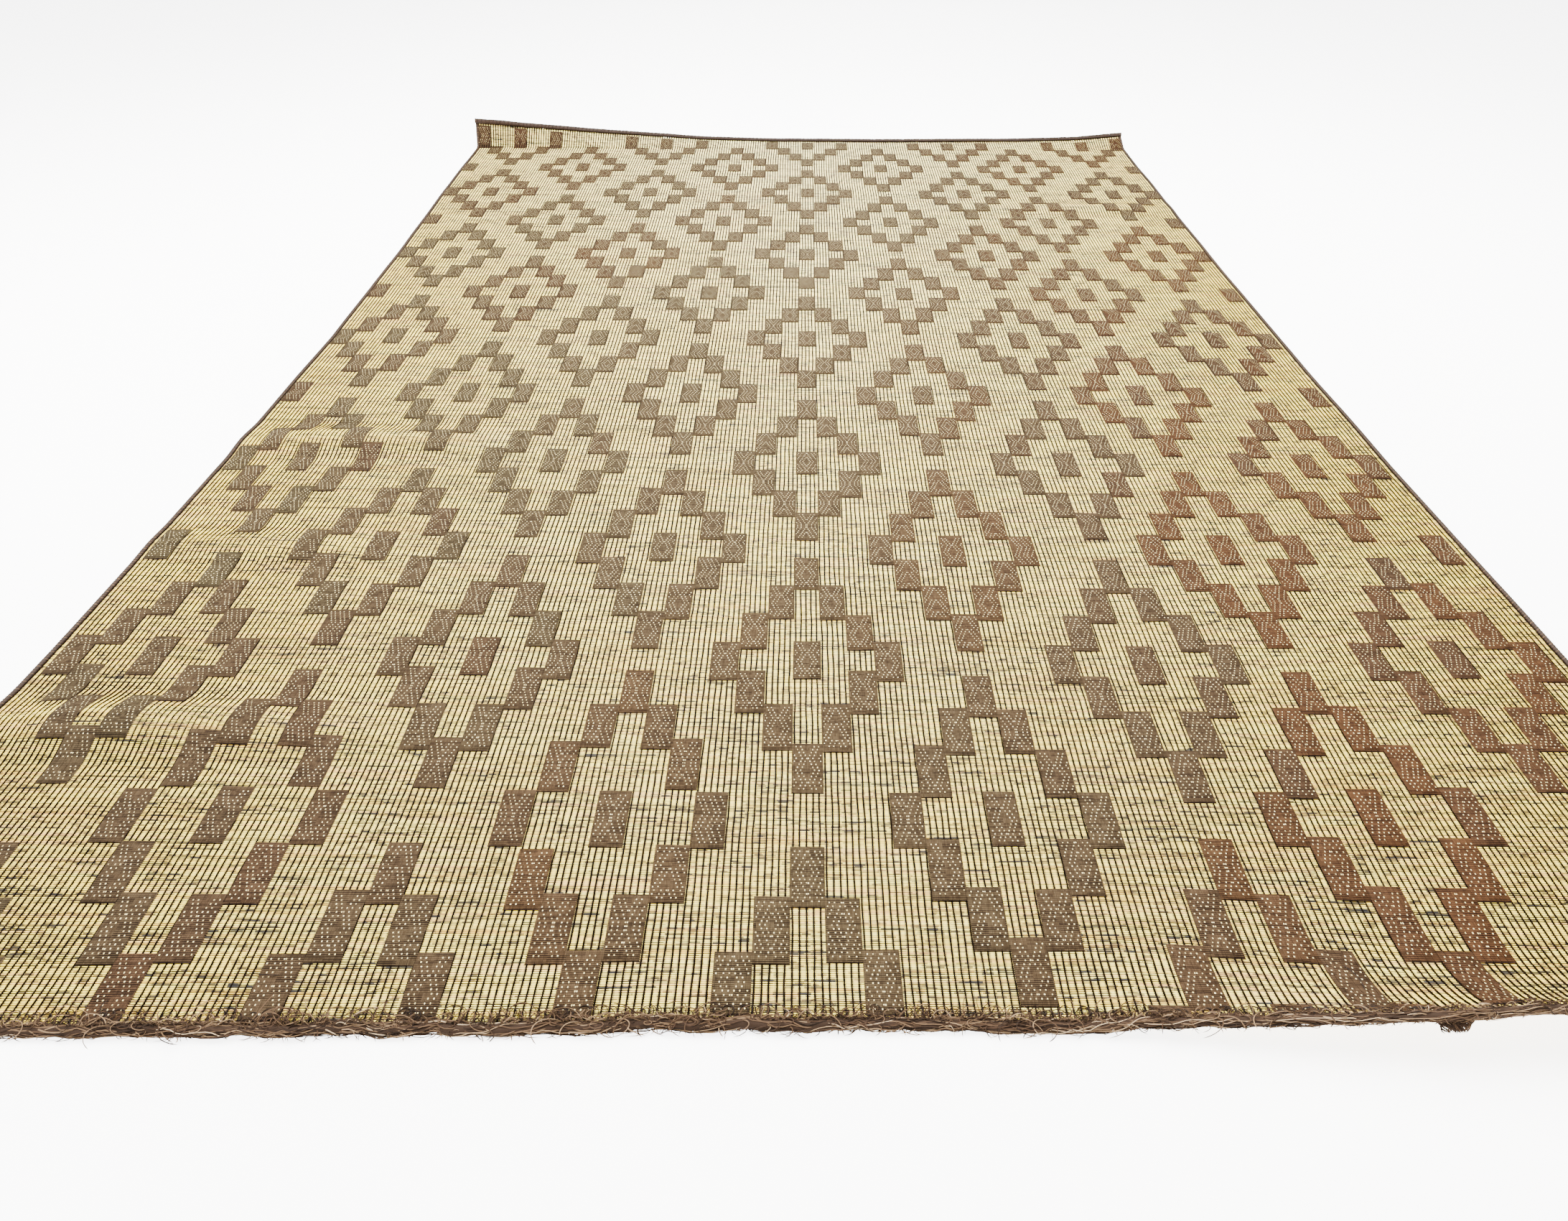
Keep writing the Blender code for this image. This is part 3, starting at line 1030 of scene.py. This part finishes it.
@dataclass
class LeatherBlocks(Part):
    """The leather of the blocks, the pale dots between its strips, and the dark lacing below."""

    dot_finish: Finish
    lace_finish: Finish
    dot_rows: int = 15
    dot_width: float = 0.66
    dot_depth: float = 0.34
    lace: float = 1.6 * MM
    seed: int = 9

    def build(self) -> None:
        """Make the patches, the dots and the lacing."""
        self.blocks = Pattern().blocks()
        self.patches()
        self.dots()
        self.lacing()

    def patches(self) -> None:
        """Lay one raised patch of leather for each block."""
        unit = flat_grid("patch", 4, 8)
        unit.tuck_rim()
        points = unit.points
        points[:, 0] = np.interp(points[:, 0], (-0.5, -0.25, 0.25, 0.5), (-0.5, -0.485, 0.485, 0.5))
        points[:, 1] = np.interp(points[:, 1], (-0.5, -0.375, 0.375, 0.5), (-0.5, -0.492, 0.492, 0.5))
        unit.points = points
        places = np.array([(b.x, b.y, WEAVE.block_top) for b in self.blocks])
        sizes = np.array([(WEAVE.column + 1.2 * MM, b.depth, 1.3 * MM) for b in self.blocks])
        piece = scatter(unit, "leather_blocks", places, sizes, np.array([b.tone for b in self.blocks]))
        piece.lay(self.lay, self.finish, "brown_leather")

    def dots(self) -> None:
        """Lay the bits of reed that show as pale dots."""
        rng = np.random.default_rng(self.seed)
        pitch_x, pitch_y, places = WEAVE.strip, WEAVE.stitch, []
        for block in self.blocks:
            rows = min(self.dot_rows, int(block.depth / pitch_y - 1.4))
            left, top = block.x - (WEAVE.column - pitch_x) / 2.0, block.y + (rows - 1) / 2.0 * pitch_y
            places += [(left + s * pitch_x, top - r * pitch_y)
                       for r in range(rows) for s in block.motif.strips(r)]
        count = len(places)
        spots = np.concatenate([np.array(places), np.full((count, 1), WEAVE.dot_top)], axis=1)
        spots[:, :2] += rng.normal(0.0, 0.16 * MM, (count, 2))
        sizes = np.stack([pitch_x * self.dot_width * rng.uniform(0.8, 1.15, count),
                          pitch_y * self.dot_depth * rng.uniform(0.8, 1.1, count), np.ones(count)], axis=1)
        worn = 0.25 + 0.65 * rng.random(count) - 0.3 * spots[:, 1] / WEAVE.far
        piece = scatter(flat_grid("dot", 1, 1), "reed_dots", spots, sizes, np.clip(worn, 0.0, 1.0))
        piece.lay(self.lay, self.dot_finish, "reed_weave")

    def lacing(self) -> None:
        """Lay a dark lace along the lower side of each block."""
        unit = flat_grid("lace", 4, 2)
        unit.tuck_rim()
        places = np.array([(b.x, b.y - b.depth / 2.0, WEAVE.dot_top) for b in self.blocks])
        sizes = np.array([(WEAVE.column * 1.04, self.lace, 1.8 * MM) for _ in self.blocks])
        tones = np.random.default_rng(self.seed + 1).random(len(places))
        scatter(unit, "block_lacing", places, sizes, tones).lay(self.lay, self.lace_finish, "brown_leather")


@dataclass
class Selvedge(Part):
    """Leather whipped round the reed ends along one side of the mat."""

    side: float
    name: str
    node: str
    width: float = 11.6 * MM
    height: float = 7.8 * MM
    wrap: float = 8.0 * MM
    rings_in_wrap: int = 4
    sides: int = 8
    relief: float = 0.16

    def build(self) -> None:
        """Run rings along the edge, swelling once for each slanting turn of the leather."""
        count = int((WEAVE.far - WEAVE.near) / self.wrap * self.rings_in_wrap)
        along, turn = rings(WEAVE.near, WEAVE.far, count, self.sides)
        phase = along / self.wrap + turn / math.tau
        ridge = np.abs(np.sin(math.pi * phase)) ** 0.7
        size = 1.0 - self.relief + self.relief * ridge
        x = self.side * (WEAVE.half_width + self.width / 2.0) + size * np.cos(turn) * self.width / 2.0
        z = self.height / 2.0 + size * np.sin(turn) * self.height / 2.0
        inner = np.cos(turn) * self.side < 0.3
        tick = np.where(ridge > 0.85, 0.85, 0.35 * ridge) * (0.6 + 0.4 * np.sin(2.1 * phase) ** 2)
        piece = tube(self.name, x, along, z, np.where(inner, tick, 0.1))
        piece.lay(self.lay, self.finish, "brown_leather", 70.0, self.node)


@dataclass
class FarBinding(Part):
    """Leather folded over the far end and laced through it."""

    lace_finish: Finish
    depth: float = 19.6 * MM
    height: float = 18.6 * MM
    overhang: float = 11.5 * MM
    ring_pitch: float = 7.0 * MM
    sides: int = 10
    stitch_pitch: float = 17.0 * MM
    seed: int = 35

    def build(self) -> None:
        """Make the lumpy folded leather, then the slanting laces from the reeds to its back."""
        half = WEAVE.half_width + self.overhang
        across, turn = rings(-half, half, int(2.0 * half / self.ring_pitch), self.sides)
        size = 0.9 + 0.1 * soft_noise(across, turn * 0.01, 0.03, 31) * 0.7
        inwards = np.where(np.cos(turn) < 0.0, 1.75, 1.0)
        # The tone is painted light and shade: lighter on the top of the fold and near black underneath, with
        # uneven tone along it
        tones = np.clip(np.sin(turn) * 0.3 + 0.15 + 0.1 * soft_noise(across, turn, 0.05, 33), 0.0, 1.0)
        piece = tube("far_binding_leather", across,
                     WEAVE.far + self.depth / 2.0 + size * np.cos(turn) * inwards * self.depth / 2.0,
                     self.height / 2.0 + size * np.sin(turn) * self.height / 2.0, tones)
        piece.lay(self.lay, self.finish, "brown_leather", 70.0, "far_binding")
        rng = np.random.default_rng(self.seed)
        x = np.arange(-half + 0.01, half - 0.01, self.stitch_pitch)
        x = x + rng.normal(0.0, 1.2 * MM, len(x))
        steps = np.linspace(0.0, 1.0, 7)
        arc = math.pi * steps
        paths = np.stack(np.broadcast_arrays(
            x[:, None] + 5.0 * MM * steps[None],
            WEAVE.far - 4.0 * MM + (self.depth + 3.0 * MM) * (1.0 - np.cos(arc)) / 2.0,
            4.4 * MM + (self.height - 3.6 * MM) * np.sin(arc) ** 0.6), axis=-1)
        laces = strands("far_binding_laces", paths, np.full(len(x), 1.1 * MM), rng.random(len(x)))
        laces.lay(self.lay, self.lace_finish, "brown_leather")


@dataclass
class Fringe(Part):
    """The near end: lacing over the last reeds, a matted fibre roll, and locks teased out of it.

    The fibres are thicker than real ones, so that they show.
    """

    lace_finish: Finish
    depth: float = 22.0 * MM
    height: float = 13.0 * MM
    stray: float = 2.6 * MM
    lowest: float = 0.8 * MM
    wound_count: int = 1300
    lock_count: int = 1300
    curl_count: int = 460
    loop_count: int = 340
    clump_count: int = 130
    core_rings: int = 420
    core_sides: int = 8
    seed: int = 41

    def build(self) -> None:
        """Make the core, the wound strands, the locks, the curls, the lacing and the clumps."""
        self.rng = np.random.default_rng(self.seed)
        for make in (self.core, self.wound, self.locks, self.curls, self.lacing, self.loops, self.clumps):
            make()

    def wave(self, x: np.ndarray) -> np.ndarray:
        """How far the loose roll strays from its line at a place across."""
        return self.stray * (soft_noise(x, 0.0 * x, 0.11, 47) + 0.6 * soft_noise(x, 0.0 * x, 0.035, 48))

    def pick(self, count: int, low: float, high: float) -> np.ndarray:
        """An even draw for each strand, as a column."""
        return self.rng.uniform(low, high, (count, 1))

    def fibres(self, name: str, path: list[np.ndarray], radii: tuple[float, float],
               browns: tuple[float, float], sides: int = 3) -> None:
        """Make strands of fibre and lay them.

        Args:
            name: The piece's name.
            path: Places across, along and up, by strand and point.
            radii: Least and largest radius, in millimetres.
            browns: The two weights of the draw of tones.
            sides: Sides of a strand.
        """
        radius = self.rng.uniform(*radii, len(path[0])) * MM
        piece = strands(name, np.stack(path, axis=-1), radius, self.rng.beta(*browns, len(path[0])), sides)
        piece.lay(self.lay, self.finish, "palm_fibre", 80.0)

    def core(self) -> None:
        """Make the matted roll that fills the middle; its dark tone is painted shade among the strands."""
        across, turn = rings(-WEAVE.half_width, WEAVE.half_width, self.core_rings, self.core_sides)
        size = 0.84 + 0.08 * soft_noise(across, turn * 0.01, 0.05, 43)
        middle = WEAVE.near - self.depth / 2.0 + self.wave(across)
        piece = tube("fringe_core", across, middle + size * np.cos(turn) * self.depth / 2.0,
                     0.4 * MM + self.height / 2.0 + size * np.sin(turn) * self.height / 2.0,
                     np.full(turn.shape, 0.12))
        piece.lay(self.lay, self.finish, "palm_fibre", 80.0, "fringe")

    def wound(self) -> None:
        """Wind strands loosely along the roll."""
        count, half = self.wound_count, WEAVE.half_width
        t = np.linspace(-0.5, 0.5, 14)[None]
        reach = self.pick(count, 0.04, 0.16)
        x = np.clip(self.pick(count, -half, half) + reach * t, -half, half)
        turn = self.pick(count, 0.0, math.tau) + self.rng.normal(0.0, 16.0, (count, 1)) * reach * t
        turn += 0.25 * np.sin(x * self.pick(count, 60.0, 160.0) + turn)
        out = self.pick(count, 0.7, 1.04) + 0.12 * np.sin(75.0 * x + 2.0 * turn)
        y = WEAVE.near - self.depth / 2.0 + self.wave(x) + out * np.cos(turn) * self.depth / 2.0
        z = self.height / 2.0 + out * np.sin(turn) * self.height / 2.0
        self.fibres("fringe_wound_strands", [x, y, np.maximum(z, self.lowest)], (0.4, 1.05), (0.7, 0.95))

    def locks(self) -> None:
        """Tease short locks out of the roll, towards the reeds and the ground."""
        count, half = self.lock_count, WEAVE.half_width
        t = np.linspace(0.0, 1.0, 8)[None]
        x0 = self.pick(count, -half, half)
        size = self.pick(count, 10.0, 34.0) * MM
        aim = self.pick(count, 0.0, math.tau) + self.rng.normal(0.0, 1.5, (count, 1)) * t
        over = self.rng.random((count, 1)) < 0.5
        x = x0 + size * t * np.cos(aim)
        swing = np.abs(np.sin(aim)) * size * t
        y = np.where(over, WEAVE.near - self.depth * 0.35 + swing * 0.8,
                     WEAVE.near - self.depth * 0.7 + self.wave(x) - swing * 0.4)
        rise = np.where(over, self.height * (0.85 + 0.5 * t * (1.0 - 0.8 * t)),
                        self.height * 0.7 * (1.0 - t) ** 1.4)
        z = np.maximum(rise + 0.3 * size * np.sin(math.pi * t) * self.rng.random((count, 1)), self.lowest)
        x = np.clip(x, -half - 10.0 * MM, half + 10.0 * MM)
        self.fibres("fringe_locks", [x, y, z], (0.4, 1.0), (1.6, 1.6))

    def curls(self) -> None:
        """Lay long thin curls over the last reeds."""
        count, length, half = self.curl_count, 16, WEAVE.half_width
        t = np.linspace(0.0, 1.0, length)[None]
        x0 = self.pick(count, -half + 0.05, half - 0.05)
        size = self.pick(count, 25.0, 85.0) * MM
        aim = self.pick(count, 0.15, math.pi - 0.15) + self.rng.normal(0.0, 4.5, (count, 1)) * t
        step_x, step_y = (np.cumsum(step, axis=1) / length for step in (np.cos(aim), np.sin(aim)))
        x = np.clip(x0 + size * step_x, -half, half)
        y = WEAVE.near - self.depth * 0.45 + size * step_y * 0.7
        z = self.height * (0.9 - 0.35 * t) + 0.12 * size * np.sin(math.pi * t)
        self.fibres("fringe_curls", [x, y, np.maximum(z, 5.2 * MM)], (0.55, 0.9), (1.3, 2.2))

    def lacing(self) -> None:
        """Cross the laces that tie the roll to the last reeds."""
        rng, pitch = self.rng, WEAVE.thong_pitch
        x = np.arange(-WEAVE.half_width + pitch, WEAVE.half_width - pitch, pitch)
        x = np.concatenate([x, x + 4.0 * MM]) + rng.normal(0.0, 0.7 * MM, 2 * len(x))
        count = len(x)
        lean = np.where(np.arange(count) < count // 2, 1.0, -1.0)[:, None] * self.pick(count, 3.0, 6.5) * MM
        t = np.linspace(0.0, 1.0, 5)[None]
        reach = self.pick(count, 9.0, 14.0) * MM
        paths = np.stack([x[:, None] + lean * (t - 0.5) * 2.0, WEAVE.near - 6.0 * MM + (reach + 6.0 * MM) * t,
                          9.5 * MM - 4.4 * MM * np.broadcast_to(ease(t * 1.4), (count, 5))], axis=-1)
        piece = strands("fringe_lacing", paths, rng.uniform(0.55, 0.9, count) * MM, rng.random(count))
        piece.lay(self.lay, self.lace_finish, "brown_leather", 80.0)

    def loops(self) -> None:
        """Stand small loops of lacing out over the last reeds."""
        count, half = self.loop_count, WEAVE.half_width
        x, size = self.pick(count, -half + 0.02, half - 0.02), self.pick(count, 3.5, 10.0) * MM
        turn = self.pick(count, -2.2, -0.9) + np.linspace(0.0, 4.6, 10)[None]
        z = 5.4 * MM + 2.0 * MM * np.sin(np.linspace(0.0, math.pi, 10))[None]
        paths = np.stack(np.broadcast_arrays(
            x + size * np.cos(turn), WEAVE.near + 2.0 * MM + size * (1.0 + np.sin(turn)), z), axis=-1)
        radius = self.rng.uniform(0.55, 0.85, count) * MM
        piece = strands("fringe_loops", paths, radius, self.rng.random(count))
        piece.lay(self.lay, self.lace_finish, "brown_leather", 80.0)

    def clumps(self) -> None:
        """Hang two matted clumps from the raised part of the roll."""
        count = self.clump_count
        t = np.linspace(0.0, 1.0, 10)[None]
        small = (np.arange(count) % 4 == 0)[:, None]
        middle, spread = np.where(small, 18.9, 15.8) * WEAVE.column, np.where(small, 16.0, 30.0) * MM
        x = middle + spread * self.pick(count, -1.0, 1.0) * (1.0 - 0.65 * t)
        x = x + 6.0 * MM * np.sin(self.pick(count, 0.0, math.tau) + self.pick(count, 2.0, 7.0) * t)
        reach = np.where(small, 14.0, 24.0) * MM * self.pick(count, 0.4, 1.0)
        y = WEAVE.near - self.depth * 0.6 - 0.3 * reach * t
        self.fibres("fringe_clumps", [x, y, self.height * 0.8 - reach * t], (0.6, 1.3), (1.1, 3.6), 4)


class LooseEnd(NamedTuple):
    """A leather end or splinter that has come away from the weave, in pattern columns and rows."""

    column: float
    row: float
    length: float
    heading: float
    bend: float
    tone: float


@dataclass
class LooseEnds(Part):
    """The few ends that lie on the mat."""

    ends: tuple[LooseEnd, ...] = (
        LooseEnd(-14.3, 21.7, 0.075, 20.0, 60.0, 0.1), LooseEnd(-9.3, 21.6, 0.06, 160.0, -50.0, 0.2),
        LooseEnd(-15.7, 11.7, 0.05, 75.0, 30.0, 0.15), LooseEnd(17.4, 19.6, 0.06, 40.0, 80.0, 0.1),
        LooseEnd(-10.5, 0.62, 0.05, 150.0, 50.0, 0.1), LooseEnd(-13.9, 0.95, 0.04, 200.0, -40.0, 0.2),
        LooseEnd(14.4, 0.75, 0.06, 75.0, 40.0, 0.05), LooseEnd(-4.2, 19.8, 0.05, 5.0, 40.0, 0.2))

    def build(self) -> None:
        """Curl each end over the surface."""
        t = np.linspace(0.0, 1.0, 10)
        paths = []
        for end in self.ends:
            aim = np.radians(end.heading + end.bend * t)
            x = end.column * WEAVE.column + end.length * np.cumsum(np.cos(aim)) / len(t)
            y = end.row * WEAVE.row + end.length * np.cumsum(np.sin(aim)) / len(t)
            paths.append(np.stack([x, y, 5.4 * MM + 4.0 * MM * np.sin(math.pi * t)], axis=-1))
        piece = strands("loose_ends", np.array(paths), np.full(len(paths), 0.8 * MM),
                        np.array([end.tone for end in self.ends]))
        piece.lay(self.lay, self.finish, "brown_leather", 80.0)


@dataclass
class Studio:
    """Pale floor, soft lights and the camera at the photograph's angle."""

    camera_back: float = 0.941
    camera_side: float = -0.022
    camera_height: float = 1.386
    tilt: float = 54.72
    roll: float = 0.02
    heading: float = 0.85
    lens: float = 26.08

    def build(self, lay: MatLay) -> None:
        """Add the floor, the lights, the world and the camera.

        Args:
            lay: How the mat lies, which the camera is placed from.
        """
        self.floor()
        self.light("sky_panel", (0.0, 0.6, 4.2), (0.0, 0.3, 0.0), 7.0, 2000.0)
        self.light("far_panel", (0.3, 7.5, 3.6), (0.0, 1.4, 0.0), 4.5, 250.0)
        self.light("left_panel", (-4.6, -1.5, 2.6), (0.0, 0.2, 0.0), 3.0, 300.0)
        self.world()
        self.camera(lay)

    def floor(self) -> None:
        """Add a wide plain floor, even and white as studio paper."""
        floor = flat_grid("floor", 4, 4, (-30.0, -30.0), (30.0, 30.0))
        material = bpy.data.materials.new("pale_floor")
        material.use_nodes = True
        shader = material.node_tree.nodes["Principled BSDF"]
        for name, value in {"Base Color": srgb("F4F3F0"), "Roughness": 0.9, "Emission Color": srgb("FFFFFF"),
                            "Emission Strength": 5.5}.items():
            shader.inputs[name].default_value = value
        floor.obj.data.materials.append(material)

    def light(self, name: str, place: tuple[float, float, float], target: tuple[float, float, float],
              size: float, power: float) -> None:
        """Add one soft round panel that faces a target.

        Args:
            name: The panel's name.
            place: Where it hangs.
            target: The point that it faces.
            size: Its width, in metres.
            power: Its power, in watts.
        """
        data = bpy.data.lights.new(name, 'AREA')
        data.shape, data.size, data.energy = 'DISK', size, power
        lamp = bpy.data.objects.new(name, data)
        lamp.location = place
        ray = [t - p for t, p in zip(target, place)]
        lean = math.atan2(math.hypot(ray[0], ray[1]), -ray[2])
        lamp.rotation_euler = (lean, 0.0, math.atan2(-ray[0], ray[1]))
        bpy.context.scene.collection.objects.link(lamp)

    def world(self) -> None:
        """Add even white surroundings."""
        world = bpy.data.worlds.new("studio")
        world.use_nodes = True
        back = world.node_tree.nodes["Background"]
        back.inputs["Color"].default_value = srgb("FFFFFF")
        back.inputs["Strength"].default_value = 0.9
        bpy.context.scene.world = world

    def camera(self, lay: MatLay) -> None:
        """Stand the camera where the photograph was taken.

        Args:
            lay: How the mat lies, which the camera is placed from.
        """
        data = bpy.data.cameras.new("camera")
        data.lens, data.sensor_width = self.lens, 36.0
        camera = bpy.data.objects.new("camera", data)
        row_zero = lay.shift[1] - lay.middle_row * WEAVE.row
        camera.location = (lay.shift[0] + self.camera_side, row_zero - self.camera_back, self.camera_height)
        camera.rotation_euler = [math.radians(a) for a in (self.tilt, self.roll, self.heading)]
        bpy.context.scene.collection.objects.link(camera)
        bpy.context.scene.camera = camera


def main() -> None:
    """Build the mat from the web up, then the room."""
    logging.basicConfig(level=logging.INFO, format="%(message)s")
    lay, straw, thong, edge, welt = MatLay(), Straw(), ThongLeather(), EdgeLeather(), WeltLeather()
    first = math.ceil(WEAVE.near / WEAVE.reed_pitch)
    last = math.floor(WEAVE.far / WEAVE.reed_pitch)
    middle = (first + last) // 2
    split = middle * WEAVE.reed_pitch
    parts = (Web(lay, straw),
             Reeds(lay, straw, "reeds_near", first, middle - first, NEAR_BENDS),
             Reeds(lay, straw, "reeds_far", middle, last - middle, FAR_BENDS),
             Thongs(lay, thong, "thongs_near", WEAVE.near, split, 4),
             Thongs(lay, thong, "thongs_far", split, WEAVE.far, 3),
             LeatherBlocks(lay, BlockLeather(), DotStraw(), welt),
             Selvedge(lay, edge, -1.0, "whipped_edge_left", "selvedge_left"),
             Selvedge(lay, edge, 1.0, "whipped_edge_right", "selvedge_right"),
             FarBinding(lay, edge, welt),
             Fringe(lay, PalmFibre(), welt),
             LooseEnds(lay, welt))
    for part in parts:
        part.build()
    Studio().build(lay)


if __name__ == "__main__":
    main()
